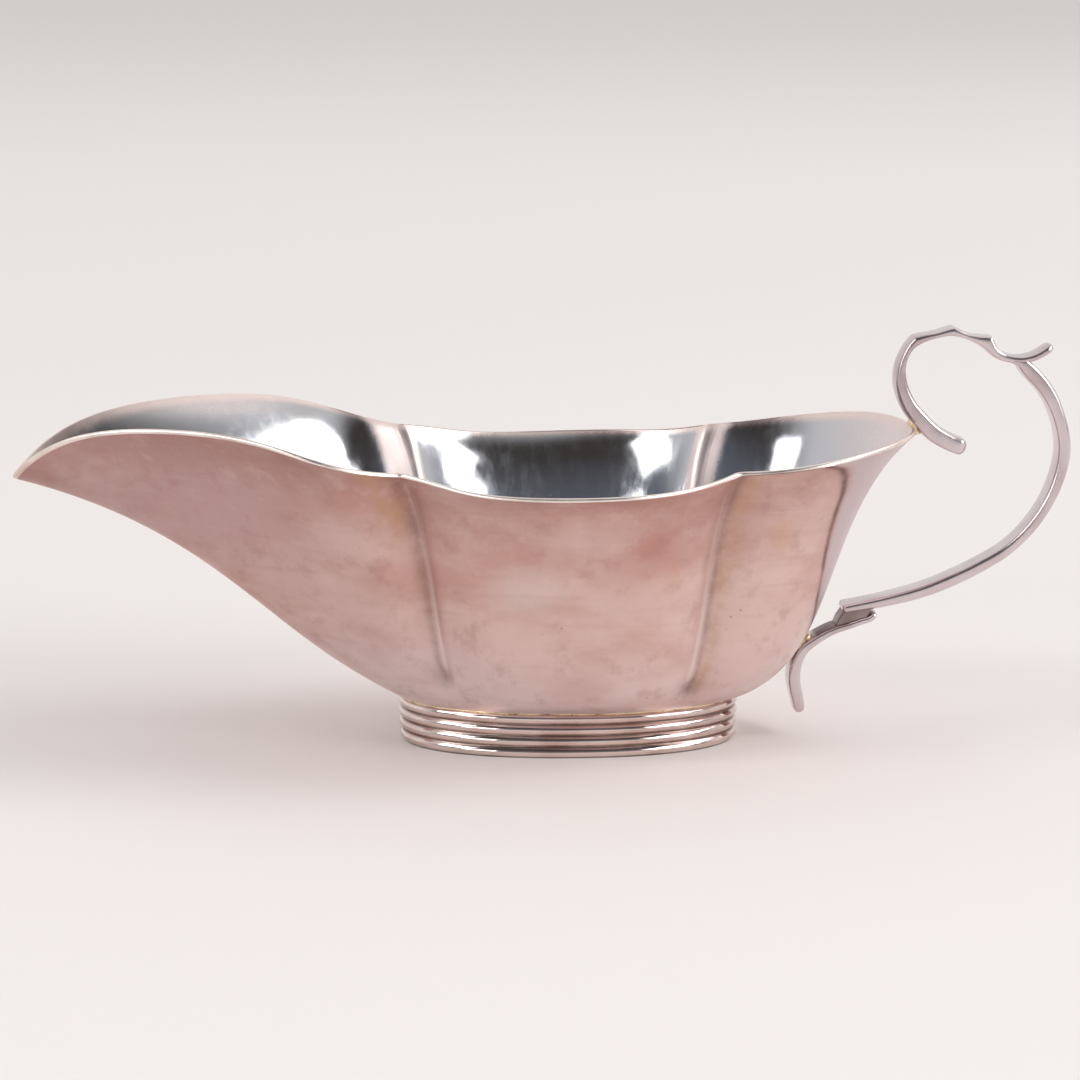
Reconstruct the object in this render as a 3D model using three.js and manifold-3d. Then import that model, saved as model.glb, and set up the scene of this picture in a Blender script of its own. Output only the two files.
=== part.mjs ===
// A silver sauce boat: a lobed bowl with a long lip at one end, an oval reeded foot,
// and a strap handle made of a cusped thumb scroll, a long loop and a small bracket.
// Millimetres, +Z up, the lip towards -X and the handle towards +X.

import * as THREE from 'three';
import { NURBSCurve } from 'three/addons/curves/NURBSCurve.js';
import { mergeVertices } from 'three/addons/utils/BufferGeometryUtils.js';
import Module from 'manifold-3d';

const wasm = await Module();
wasm.setup();

// Foot: an oval collar with round reeds, open underneath.
const foot = {
  halfLength: 28.9,
  halfWidth: 18.4,
  height: 7.6,
  reeds: 4,
  reedDepth: 0.55,
  draft: 0.35,
  wall: 1.9,
};
const ovalPower = 2.2;

// Bowl: raised from sheet, standing on the foot's top.
const sheet = 0.8;
const seatInset = 0.3;
const seatWidth = 2.2;
const bottomSag = 2.2;

// Main sizes, measured from the middle of the foot's top: how far the bowl reaches to the
// lip, to the back and to the side, how high its back rises, and how far the handle
// stands out behind it. The points below are drawn at the drawn sizes and follow these.
const reach = { lip: 93.5, back: 59.3, side: 40.9, height: 44.5, handle: 29.3 };
const drawn = { lip: 93.5, back: 59.3, side: 40.9, height: 44.5, handle: 29.3 };
const stretch = (size) => reach[size] / drawn[size];

// Rim: four lobes that meet in a flute. Each point is the distance along the bowl,
// the distance from the middle line, and the height above the foot.
const backFlute = [26.6, 28.3, 41.4];
const frontFlute = [-28.4, 28.5, 41.5];
const backLobe = [backFlute, [39, 31.3, 42.2], [56, 20.3, 45.5], [59.3, 0, 44.5]];
const sideLobe = [
  backFlute,
  [19.9, 33.1, 39.6],
  [9.9, 40.9, 39],
  [-16.9, 36.2, 38.3],
  [-22.4, 32.2, 40.8],
  frontFlute,
];
const lipLobe = [
  frontFlute,
  [-38.5, 34.9, 42.7],
  [-48.4, 30.7, 47.1],
  [-65.7, 20.4, 47.9],
  [-82.5, 12.6, 46.3],
  [-91.7, 7, 39.5],
  [-93.5, 0, 36],
];

// Wall: how far out and how far up its two handles sit between foot and rim,
// as shares of the way, at the back, at the side and under the lip.
const bellyOut = { back: 0.6, side: 0.62, lip: 0.35 };
const bellyUp = { back: 0.11, side: 0.08, lip: 0.265 };
const neckOut = { back: 0.45, side: 0.54, lip: 0.456 };
const neckUp = { back: 0.69, side: 0.81, lip: 0.76 };

// Flutes: how far their lower ends are turned towards the sides and towards the lip,
// in radians, and the groove along each, as wide as a share of a lobe on either side.
const fluteSpread = 0.147;
const fluteDrift = 0.083;
const grooveDepth = 0.6;
const grooveReach = 0.075;

// Handle: stations are the distance behind the back line, the height above the foot
// and half the strap's thickness. The back line runs from the bracket's seat on the
// wall to the end of the rim.
const strapWidth = 5.6;
const bracketWidth = 6.2;
const strapCorner = 0.5;
const seam = 0.3;
const bracketSeatHeight = 7.5;
const scrollStations = [
  [10.5, 41.4, 1.25],
  [7.3, 42.4, 1.35],
  [3.7, 44, 1.38],
  [0.6, 46, 1.32],
  [-3.1, 48.8, 1.2],
  [-6.4, 52.4, 0.98],
  [-8.1, 55.8, 0.64],
  [-8.2, 58.4, 0.48],
  [-6.8, 59.9, 0.45],
  [-4.9, 60.6, 0.42],
  [-2.4, 60.9, 0.4],
  [0.9, 60.2, 0.43],
  [3.9, 59.1, 0.6],
  [7, 57.4, 0.68],
  [9.4, 56.6, 0.58],
  [11.7, 56.4, 0.5],
  [13.7, 56.9, 0.5],
  [15.1, 58, 0.55],
  [15.6, 58.8, 0.55],
];
const cuspTips = [
  [-8.4, 60.4],
  [-2.7, 61.9],
  [4.5, 60.3],
];
const cuspReach = 3.4;
const loopStations = [
  [10.8, 56.4, 0.8],
  [12.1, 55.8, 1.1],
  [13.5, 54.9, 1.18],
  [15.3, 53.7, 1.22],
  [17.2, 52.4, 1.2],
  [20.1, 50, 1.15],
  [22.9, 47.1, 1.05],
  [25.4, 44, 1.05],
  [27.3, 40.9, 1.05],
  [28.6, 37.4, 1],
  [29.3, 32.8, 0.92],
  [28.8, 28.2, 0.88],
  [26.9, 24.2, 0.88],
  [23.6, 21.2, 0.95],
  [19.9, 18.8, 1],
  [16.1, 17, 0.95],
  [10.2, 15.3, 0.85],
  [4.2, 14.15, 0.65],
];
const bracketStations = [
  [6.5, -3.6, 0.8],
  [4.9, -1.3, 0.97],
  [3.6, 0.4, 1],
  [2.5, 2.1, 1],
  [1.7, 3.9, 0.94],
  [1.3, 5.6, 0.88],
  [1.4, 7.3, 0.82],
  [2.5, 8.8, 0.74],
  [4.2, 10.2, 0.62],
  [5.6, 10.9, 0.56],
  [7, 11.4, 0.52],
  [8.4, 12, 0.5],
  [9.7, 12.5, 0.48],
  [10.4, 13.4, 0.45],
];
const padMiddle = 6.9;
const padLength = 4.8;
const cutMargin = 1;

const silver = { color: 0xc39c92, roughness: 0.32, metalness: 1 };
const brightSilver = { color: 0xd8ccc8, roughness: 0.18, metalness: 1 };
const handleSilver = { color: 0xc6b8b6, roughness: 0.26, metalness: 1 };

// Distance from the centre of an oval to its edge in one direction.
function ovalPoint(halfLength, halfWidth, angle) {
  const direction = Math.atan2(halfWidth * Math.sin(angle), halfLength * Math.cos(angle));
  const c = Math.cos(direction);
  const s = Math.sin(direction);
  const along = Math.pow(Math.abs(c) / halfLength, ovalPower);
  const across = Math.pow(Math.abs(s) / halfWidth, ovalPower);
  const reach = Math.pow(along + across, -1 / ovalPower);
  return new THREE.Vector2(reach * c, reach * s);
}

// A rim point at the main sizes.
function atSize([x, y, z]) {
  const along = x * stretch(x < 0 ? 'lip' : 'back');
  return new THREE.Vector4(along, y * stretch('side'), z * stretch('height'), 1);
}

// A smooth curve drawn towards its middle points, through its two ends.
function lobeCurve(points) {
  const controls = points.map(atSize);
  const spans = points.length - 3;
  const knots = [0, 0, 0];
  for (let i = 0; i <= spans; i += 1) {
    knots.push(i / spans);
  }
  knots.push(1, 1, 1);
  return new NURBSCurve(3, knots, controls);
}

const mirrored = ([x, y, z]) => [x, -y, z];
const farBack = backLobe.slice(0, -1);
const farLip = lipLobe.slice(0, -1);
const rimLobes = [
  lobeCurve([...farBack.map(mirrored), backLobe.at(-1), ...farBack.toReversed()]),
  lobeCurve(sideLobe),
  lobeCurve([...lipLobe, ...farLip.toReversed().map(mirrored)]),
  lobeCurve(sideLobe.toReversed().map(mirrored)),
];

// A point of the rim; a whole turn is four lobes, starting at the back flute at -Y.
function rimPoint(turn) {
  const lobe = Math.floor(turn) % 4;
  const point = rimLobes[lobe].getPoint(turn - Math.floor(turn));
  return new THREE.Vector3(point.x, point.y, point.z);
}

// One of the wall's shares in a direction, eased from the back over the side to the lip.
function eased(share, angle) {
  const even = (share.back + share.lip) / 2;
  const first = (share.back - share.lip) / 2;
  const second = (even - share.side) / 2;
  return (even + share.side) / 2 + first * Math.cos(angle) + second * Math.cos(2 * angle);
}

// How far the groove along a flute lies in from the lobes: deepest half way up.
function grooveAt(turn, climb) {
  const away = Math.abs(turn - Math.round(turn)) / grooveReach;
  return grooveDepth * Math.max(0, 1 - away) ** 2 * Math.sin(Math.PI * climb);
}

// A point of the bowl's outside, from the foot (climb 0) to the rim (climb 1).
function wallPoint(turn, climb) {
  const angle = ((turn - 0.5) * Math.PI) / 2;
  const seated = angle + fluteSpread * Math.sin(2 * angle) + fluteDrift * Math.sin(angle);
  const base = ovalPoint(foot.halfLength - seatInset, foot.halfWidth - seatInset, seated);
  const low = new THREE.Vector3(base.x, base.y, 0);
  const way = rimPoint(turn).sub(low);
  const belly = [eased(bellyOut, angle), eased(bellyUp, angle)];
  const neck = [eased(neckOut, angle), eased(neckUp, angle)];
  const bend = (out, up) => new THREE.Vector3(way.x * out, way.y * out, way.z * up).add(low);
  const line = new THREE.CubicBezierCurve3(low, bend(...belly), bend(...neck), way.clone().add(low));
  const inward = new THREE.Vector3(-base.x, -base.y, 0).normalize();
  return line.getPoint(climb).addScaledVector(inward, grooveAt(turn, climb));
}

// The way the wall faces. On a flute it is the mean of the two sides.
function wallNormal(turn, climb) {
  const step = 0.01;
  const total = new THREE.Vector3();
  const low = Math.max(climb - step, 0);
  const high = Math.min(climb + step, 1);
  const up = wallPoint(turn, high).sub(wallPoint(turn, low));
  for (const side of [-step, step]) {
    const round = wallPoint((turn + side + 4) % 4, climb).sub(wallPoint(turn % 4, climb));
    total.add(round.multiplyScalar(Math.sign(side)).cross(up).normalize());
  }
  return total.normalize();
}

// A closed mesh from rows of points: every row is a closed ring with the same count.
function ringMesh(rings, closedUp) {
  const count = rings[0].length;
  const positions = rings.flat().flatMap((point) => [point.x, point.y, point.z]);
  const faces = [];
  const bands = closedUp ? rings.length : rings.length - 1;
  for (let row = 0; row < bands; row += 1) {
    const below = row * count;
    const above = ((row + 1) % rings.length) * count;
    for (let i = 0; i < count; i += 1) {
      const next = (i + 1) % count;
      faces.push(below + i, below + next, above + next);
      faces.push(below + i, above + next, above + i);
    }
  }
  if (!closedUp) {
    const last = (rings.length - 1) * count;
    for (let i = 1; i < count - 1; i += 1) {
      faces.push(0, i + 1, i);
      faces.push(last, last + i, last + i + 1);
    }
  }
  const geometry = new THREE.BufferGeometry();
  geometry.setAttribute('position', new THREE.Float32BufferAttribute(positions, 3));
  geometry.setIndex(faces);
  return geometry;
}

// A closed geometry as a solid that can be joined and cut.
function solidOf(geometry) {
  const plain = geometry.clone();
  plain.deleteAttribute('normal');
  plain.deleteAttribute('uv');
  const merged = mergeVertices(plain);
  const vertProperties = new Float32Array(merged.attributes.position.array);
  const triVerts = new Uint32Array(merged.index.array);
  return new wasm.Manifold(new wasm.Mesh({ numProp: 3, vertProperties, triVerts }));
}

function geometryOf(solid) {
  const { vertProperties, triVerts } = solid.getMesh();
  const geometry = new THREE.BufferGeometry();
  geometry.setAttribute('position', new THREE.Float32BufferAttribute(vertProperties, 3));
  geometry.setIndex([...triVerts]);
  return geometry;
}

// The bowl's skin: outside from the middle of the bottom up to the rim, then inside down.
function bowlGeometry() {
  const around = 96;
  const rows = 13;
  const turns = Array.from({ length: around }, (_, i) => (i * 4) / around);
  const ring = (make) => turns.map((turn) => make(turn));
  const seatShare = 1 - seatWidth / foot.halfWidth;
  const bottom = (share, lift) => ring((turn) => {
    const edge = wallPoint(turn, 0);
    const sunk = bottomSag * (1 - (share / seatShare) ** 2);
    return new THREE.Vector3(edge.x * share, edge.y * share, lift - Math.max(sunk, 0));
  });
  const climbs = Array.from({ length: rows }, (_, i) => 1 - (1 - i / (rows - 1)) ** 1.15);
  const outside = climbs.map((climb) => ring((turn) => wallPoint(turn, climb)));
  const inside = climbs.map((climb) => ring((turn) => {
    const point = wallPoint(turn, climb).addScaledVector(wallNormal(turn, climb), -sheet);
    if (climb === 0) {
      point.z = sheet;
    }
    return point;
  }));
  const shares = [0.03, 0.3, 0.6, seatShare];
  const under = shares.map((share) => bottom(share, 0));
  const floor = shares.map((share) => bottom(share, sheet));
  return ringMesh([...under, ...outside, ...inside.toReversed(), ...floor.toReversed()], false);
}

// The foot's collar: round reeds outside, a plain wall inside.
function footGeometry() {
  const around = 72;
  const steps = 4;
  const outline = [];
  for (let reed = 0; reed < foot.reeds; reed += 1) {
    for (let step = 0; step < steps; step += 1) {
      const share = (reed + step / steps) / foot.reeds;
      const swell = foot.reedDepth * Math.sin((Math.PI * step) / steps);
      outline.push([swell - foot.reedDepth - foot.draft * (1 - share), foot.height * share]);
    }
  }
  outline.push([-foot.reedDepth, foot.height]);
  outline.push([-foot.wall, foot.height]);
  outline.push([-foot.wall - foot.draft, 0]);
  const rings = outline.map(([inset, height]) => Array.from({ length: around }, (_, i) => {
    const angle = (2 * Math.PI * i) / around;
    const edge = ovalPoint(foot.halfLength + inset, foot.halfWidth + inset, angle);
    return new THREE.Vector3(edge.x, edge.y, height - foot.height);
  }));
  return ringMesh(rings, true);
}

// The back line: from the bracket's seat on the wall to the end of the rim.
const rimEnd = wallPoint(0.5, 1);
function backWallAt(height) {
  let low = 0;
  let high = 1;
  for (let i = 0; i < 40; i += 1) {
    const middle = (low + high) / 2;
    if (wallPoint(0.5, middle).z < height) {
      low = middle;
    } else {
      high = middle;
    }
  }
  return wallPoint(0.5, low);
}
const seatPoint = backWallAt(bracketSeatHeight * stretch('height'));
function behindBack(distance, height) {
  const up = height * stretch('height');
  const share = (up - seatPoint.z) / (rimEnd.z - seatPoint.z);
  const along = seatPoint.x + (rimEnd.x - seatPoint.x) * share;
  return new THREE.Vector2(along + distance * stretch('handle'), up);
}

// One ring of a strap: a rounded bar section across the strap's run.
function strapRing(centre, run, inner, outer, width, shrink) {
  const outward = new THREE.Vector2(-run.y, run.x);
  const corner = strapCorner * shrink;
  const halfWidth = (width / 2) * shrink;
  const half = ((inner + outer) / 2) * shrink;
  const middle = (outer - inner) / 2;
  const round = Math.min(corner, half * 0.8);
  const ring = [];
  const corners = [[1, -1, -90], [1, 1, 0], [-1, 1, 90], [-1, -1, 180]];
  for (const [sideY, sideT, start] of corners) {
    for (const turn of [0, 45, 90]) {
      const angle = THREE.MathUtils.degToRad(start + turn);
      const y = sideY * (halfWidth - round) + round * Math.cos(angle);
      const t = middle + sideT * (half - round) + round * Math.sin(angle);
      ring.push(new THREE.Vector3(centre.x + outward.x * t, y, centre.y + outward.y * t));
    }
  }
  return ring;
}

// A strap swept along its stations, with free ends rounded and cusps on its outer side.
function strapRings(stations, width, pieces, rounded, cusps = []) {
  const points = stations.map(([distance, height, half]) => {
    const place = behindBack(distance, height);
    return new THREE.Vector3(place.x, half, place.y);
  });
  const curve = new THREE.CatmullRomCurve3(points);
  const length = curve.getLength();
  const endRound = 0.7;
  const near = [0.12, 0.45].map((share) => (share * endRound) / length);
  const shares = Array.from({ length: pieces + 1 }, (_, i) => i / pieces);
  if (rounded.start) {
    shares.push(...near);
  }
  if (rounded.end) {
    shares.push(...near.map((share) => 1 - share));
  }
  const marks = cusps.map(([distance, height]) => {
    const tip = behindBack(distance, height);
    const fine = 400;
    const tries = Array.from({ length: fine + 1 }, (_, i) => i / fine);
    const gap = (share) => {
      const point = curve.getPointAt(share);
      return Math.hypot(point.x - tip.x, point.z - tip.y);
    };
    const at = tries.reduce((best, share) => (gap(share) < gap(best) ? share : best));
    return { at, rise: gap(at) - curve.getPointAt(at).y };
  });
  for (const { at } of marks) {
    for (const away of [-0.5, -0.2, 0, 0.2, 0.5]) {
      shares.push(at + (away * cuspReach) / length);
    }
  }
  shares.sort((a, b) => a - b);
  return shares.filter((share, i) => i === 0 || share - shares[i - 1] > 0.02 / length).map((share) => {
    const point = curve.getPointAt(share);
    const tangent = curve.getTangentAt(share);
    const run = new THREE.Vector2(tangent.x, tangent.z).normalize();
    const lift = marks.reduce((sum, { at, rise }) => {
      const away = Math.abs(share - at) * length;
      return sum + rise * Math.max(0, 1 - away / cuspReach) ** 2;
    }, 0);
    const fromStart = rounded.start ? (share * length) / endRound : 1;
    const fromEnd = rounded.end ? ((1 - share) * length) / endRound : 1;
    const from = Math.min(fromStart, fromEnd, 1);
    const shrink = 0.55 + 0.45 * Math.sqrt(1 - (1 - from) ** 2);
    return strapRing(new THREE.Vector2(point.x, point.z), run, point.y, point.y + lift, width, shrink);
  });
}

const bothEnds = { start: true, end: true };
const lastEnd = { start: false, end: true };
const noEnd = { start: false, end: false };

function scrollGeometry() {
  return ringMesh(strapRings(scrollStations, strapWidth, 44, bothEnds, cuspTips), false);
}

// The room a strap takes up, with the seam around it and some way past its last end,
// for cutting its neighbour.
function strapRoom(stations) {
  const [before, last] = stations.slice(-2);
  const beyond = last.map((size, i) => size + (size - before[i]) * 0.3);
  const grown = [...stations, beyond].map(([distance, height, half]) => [distance, height, half + seam]);
  return solidOf(ringMesh(strapRings(grown, bracketWidth + 2 * cutMargin, 40, noEnd), false));
}

// The loop's upper end is cut to lie along the underside of the scroll's tail.
function loopGeometry() {
  const strap = solidOf(ringMesh(strapRings(loopStations, strapWidth, 40, lastEnd), false));
  return geometryOf(strap.subtract(strapRoom(scrollStations)));
}

// Where a strap's middle line last passes a distance behind the back line, and its slope there.
function strapAt(stations, distance) {
  const side = stations.map(([behind]) => Math.sign(behind - distance));
  const after = side.findLastIndex((sign, i) => i > 0 && sign !== side[i - 1]);
  const [from, to] = [stations[after - 1], stations[after]];
  const slope = (to[1] - from[1]) / (to[0] - from[0]);
  return { height: from[1] + slope * (distance - from[0]), slope };
}

// The bracket carries a short pad that reaches up from its own strap to the loop's end.
function bracketGeometry() {
  const strap = solidOf(ringMesh(strapRings(bracketStations, bracketWidth, 26, bothEnds), false));
  const upper = strapAt(loopStations, padMiddle);
  const lower = strapAt(bracketStations, padMiddle);
  const middle = behindBack(padMiddle, (upper.height + lower.height) / 2);
  const pad = new THREE.BoxGeometry(padLength, bracketWidth - 1, upper.height - lower.height);
  pad.rotateY(-Math.atan((upper.slope + lower.slope) / 2));
  pad.translate(middle.x, 0, middle.y);
  return geometryOf(strap.add(solidOf(pad)).subtract(strapRoom(loopStations)));
}

// A named mesh with a material of its own.
function piece(name, geometry, finish) {
  const plain = geometry.index ? geometry.toNonIndexed() : geometry;
  plain.computeVertexNormals();
  const mesh = new THREE.Mesh(plain, new THREE.MeshStandardMaterial(finish));
  mesh.name = name;
  mesh.position.z = foot.height;
  return mesh;
}

const sauceBoat = new THREE.Group();
sauceBoat.name = 'sauce_boat';
sauceBoat.add(
  piece('bowl', bowlGeometry(), silver),
  piece('foot_collar', footGeometry(), brightSilver),
  piece('thumb_scroll', scrollGeometry(), handleSilver),
  piece('handle_loop', loopGeometry(), handleSilver),
  piece('lower_bracket', bracketGeometry(), handleSilver),
);

// The whole stands with its bounding box centred over the origin.
const box = new THREE.Box3().setFromObject(sauceBoat);
sauceBoat.position.x = -(box.min.x + box.max.x) / 2;

export default sauceBoat;
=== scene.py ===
"""A silver sauce boat, dressed over its solids: lobed bowl, reeded foot and strap handle.

Lengths in the classes are millimetres in the object's own measure, with the middle of the
foot at the origin. Meshes are moved to the frame's place and written in metres.
"""

import logging
import math
from dataclasses import dataclass
from enum import Enum, IntEnum

import bpy
import numpy as np
from mathutils import Matrix, Vector

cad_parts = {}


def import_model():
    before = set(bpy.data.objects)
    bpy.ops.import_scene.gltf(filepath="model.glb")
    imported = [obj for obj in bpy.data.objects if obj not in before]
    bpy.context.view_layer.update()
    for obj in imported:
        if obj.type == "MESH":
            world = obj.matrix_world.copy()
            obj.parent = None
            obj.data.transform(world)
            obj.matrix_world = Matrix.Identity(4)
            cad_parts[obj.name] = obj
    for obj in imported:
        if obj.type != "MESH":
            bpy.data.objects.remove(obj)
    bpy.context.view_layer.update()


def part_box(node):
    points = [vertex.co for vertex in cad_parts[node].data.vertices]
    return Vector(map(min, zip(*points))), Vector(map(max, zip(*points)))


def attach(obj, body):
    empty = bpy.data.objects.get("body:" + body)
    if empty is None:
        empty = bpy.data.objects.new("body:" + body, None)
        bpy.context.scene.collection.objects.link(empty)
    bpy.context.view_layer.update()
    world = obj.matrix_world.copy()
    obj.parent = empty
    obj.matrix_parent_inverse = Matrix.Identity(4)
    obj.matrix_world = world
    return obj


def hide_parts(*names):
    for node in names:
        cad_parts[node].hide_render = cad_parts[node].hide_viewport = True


log = logging.getLogger("sauce_boat")

Pair = tuple[float, float]
Triple = tuple[float, float, float]
Tone = tuple[int, int, int]
Socket = bpy.types.NodeSocket
Value = Socket | float | tuple[float, ...]
Row = tuple[np.ndarray, float]

MILLIMETRE = 0.001
BODY = "root"

# A Mix node has one set of sockets for each kind of data, so those for colours go by number.
FIRST_COLOUR = 6
SECOND_COLOUR = 7
MIXED_COLOUR = 2


class Slot(Enum):
    """Three material slot names."""

    SATIN = "satin_silver"
    BRIGHT = "bright_silver"
    HANDLE = "handle_silver"


class End(Enum):
    """How a strap starts: with a soft round edge, or cut straight inside its neighbour."""

    ROUND = "round"
    HIDDEN = "hidden"


class Face(IntEnum):
    """The bowl's faces, in the order of its materials."""

    OUTSIDE = 0
    INSIDE = 1
    RIM = 2


def paint(tone: Tone) -> tuple[float, ...]:
    """A colour as it is seen, turned into the light values that a shader takes.

    Args:
        tone: Red, green and blue, 0 to 255.

    Returns:
        Linear red, green, blue and an alpha of 1.
    """
    shown = np.array(tone) / 255
    linear = np.where(shown <= 0.04045, shown / 12.92, ((shown + 0.055) / 1.055) ** 2.4)
    return (*[float(value) for value in linear], 1.0)


def smooth_step(value: np.ndarray | float, low: float, high: float) -> np.ndarray | float:
    """A soft ramp from 0 at low to 1 at high."""
    share = np.clip((value - low) / (high - low), 0, 1)
    return share * share * (3 - 2 * share)


def bell(value: np.ndarray | float, middle: float, width: np.ndarray | float) -> np.ndarray | float:
    """A soft hump: 1 in its middle, 0.37 a width away from it."""
    return np.exp(-(((value - middle) / width) ** 2))


def curve_through(points: np.ndarray, steps: int = 40) -> np.ndarray:
    """A smooth curve through points, which doesn't overshoot where they lie close together.

    Args:
        points: The points, with one more before the first and one after the last.
        steps: How many points of the curve lie between two of them.

    Returns:
        The curve's points.
    """
    t = np.linspace(0, 1, steps, endpoint=False)[:, None]
    dense = []
    for i in range(1, len(points) - 2):
        four = points[i - 1:i + 3]
        moves = np.diff(four, axis=0)
        gaps = np.maximum(np.linalg.norm(moves, axis=1) ** 0.5, 1e-6)
        slopes = moves / gaps[:, None]
        leave = slopes[0] + slopes[1] - (four[2] - four[0]) / (gaps[0] + gaps[1])
        reach = slopes[1] + slopes[2] - (four[3] - four[1]) / (gaps[1] + gaps[2])
        dense.append((2 * t ** 3 - 3 * t ** 2 + 1) * four[1] + (t ** 3 - 2 * t ** 2 + t) * leave * gaps[1]
                     + (3 * t ** 2 - 2 * t ** 3) * four[2] + (t ** 3 - t ** 2) * reach * gaps[1])
    return np.concatenate([*dense, points[-2:-1]])


def add_object(name: str, data: bpy.types.ID) -> bpy.types.Object:
    """Makes an object of a mesh, a light or a camera.

    Args:
        name: The object's name.
        data: What it shows.

    Returns:
        The new object, in the scene.
    """
    made = bpy.data.objects.new(name, data)
    bpy.context.scene.collection.objects.link(made)
    return made


@dataclass(frozen=True)
class Stain:
    """A blotch of tarnish at its own place: middle and half sizes in the frame, in millimetres."""

    centre: Triple
    reach: Triple
    colour: Tone
    strength: float


class Nodes:
    """A tree of nodes, made by short calls."""

    def __init__(self, tree: bpy.types.NodeTree) -> None:
        """Takes the tree that the nodes go into."""
        self.tree = tree

    def fill(self, node: bpy.types.Node, inputs: dict[str | int, Value]) -> None:
        """Gives inputs of a node what they receive.

        Args:
            node: The node.
            inputs: A socket, number or colour for each input, by its name or number.
        """
        for label, value in inputs.items():
            if isinstance(value, Socket):
                self.tree.links.new(value, node.inputs[label])
            else:
                node.inputs[label].default_value = value

    def node(self, kind: str, inputs: dict[str | int, Value] | None = None) -> bpy.types.Node:
        """Adds a node.

        Args:
            kind: What it does.
            inputs: A socket, number or colour for each input, by its name or number.

        Returns:
            The node.
        """
        node = self.tree.nodes.new("ShaderNode" + kind)
        self.fill(node, inputs or {})
        return node

    def ramp(self, value: Value, low: float, high: float, start: float = 0.0, end: float = 1.0) -> Socket:
        """A soft ramp of a value.

        Args:
            value: What is ramped.
            low: Where the ramp starts.
            high: Where it ends; it may be lower than the start.
            start: The result before the ramp.
            end: The result after it.

        Returns:
            The ramped value.
        """
        if high < low:
            low, high, start, end = high, low, end, start
        node = self.node("MapRange", {"Value": value, "From Min": low, "From Max": high,
                                      "To Min": start, "To Max": end})
        node.interpolation_type = "SMOOTHSTEP"
        return node.outputs["Result"]

    def mix(self, share: Value, first: Value, second: Value) -> Socket:
        """A colour between two others.

        Args:
            share: 0 for the first colour, 1 for the second.
            first: A colour or a socket.
            second: A colour or a socket.

        Returns:
            The mixed colour.
        """
        node = self.node("Mix")
        node.data_type = "RGBA"
        self.fill(node, {"Factor": share, FIRST_COLOUR: first, SECOND_COLOUR: second})
        return node.outputs[MIXED_COLOUR]

    def times(self, first: Value, second: Value) -> Socket:
        """The product of two values."""
        return self.sum_or_product("MULTIPLY", first, second)

    def plus(self, first: Value, second: Value) -> Socket:
        """The sum of two values."""
        return self.sum_or_product("ADD", first, second)

    def sum_or_product(self, kind: str, first: Value, second: Value) -> Socket:
        """One sum with two values.

        Args:
            kind: The node's name of the operation.
            first: A socket or a number.
            second: A socket or a number.

        Returns:
            The result.
        """
        node = self.node("Math", {0: first, 1: second})
        node.operation = kind
        return node.outputs[0]

    def length(self, vector: Socket) -> Socket:
        """How long a vector is.

        Args:
            vector: The vector.

        Returns:
            Its length.
        """
        node = self.node("VectorMath", {0: vector})
        node.operation = "LENGTH"
        return node.outputs["Value"]


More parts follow.
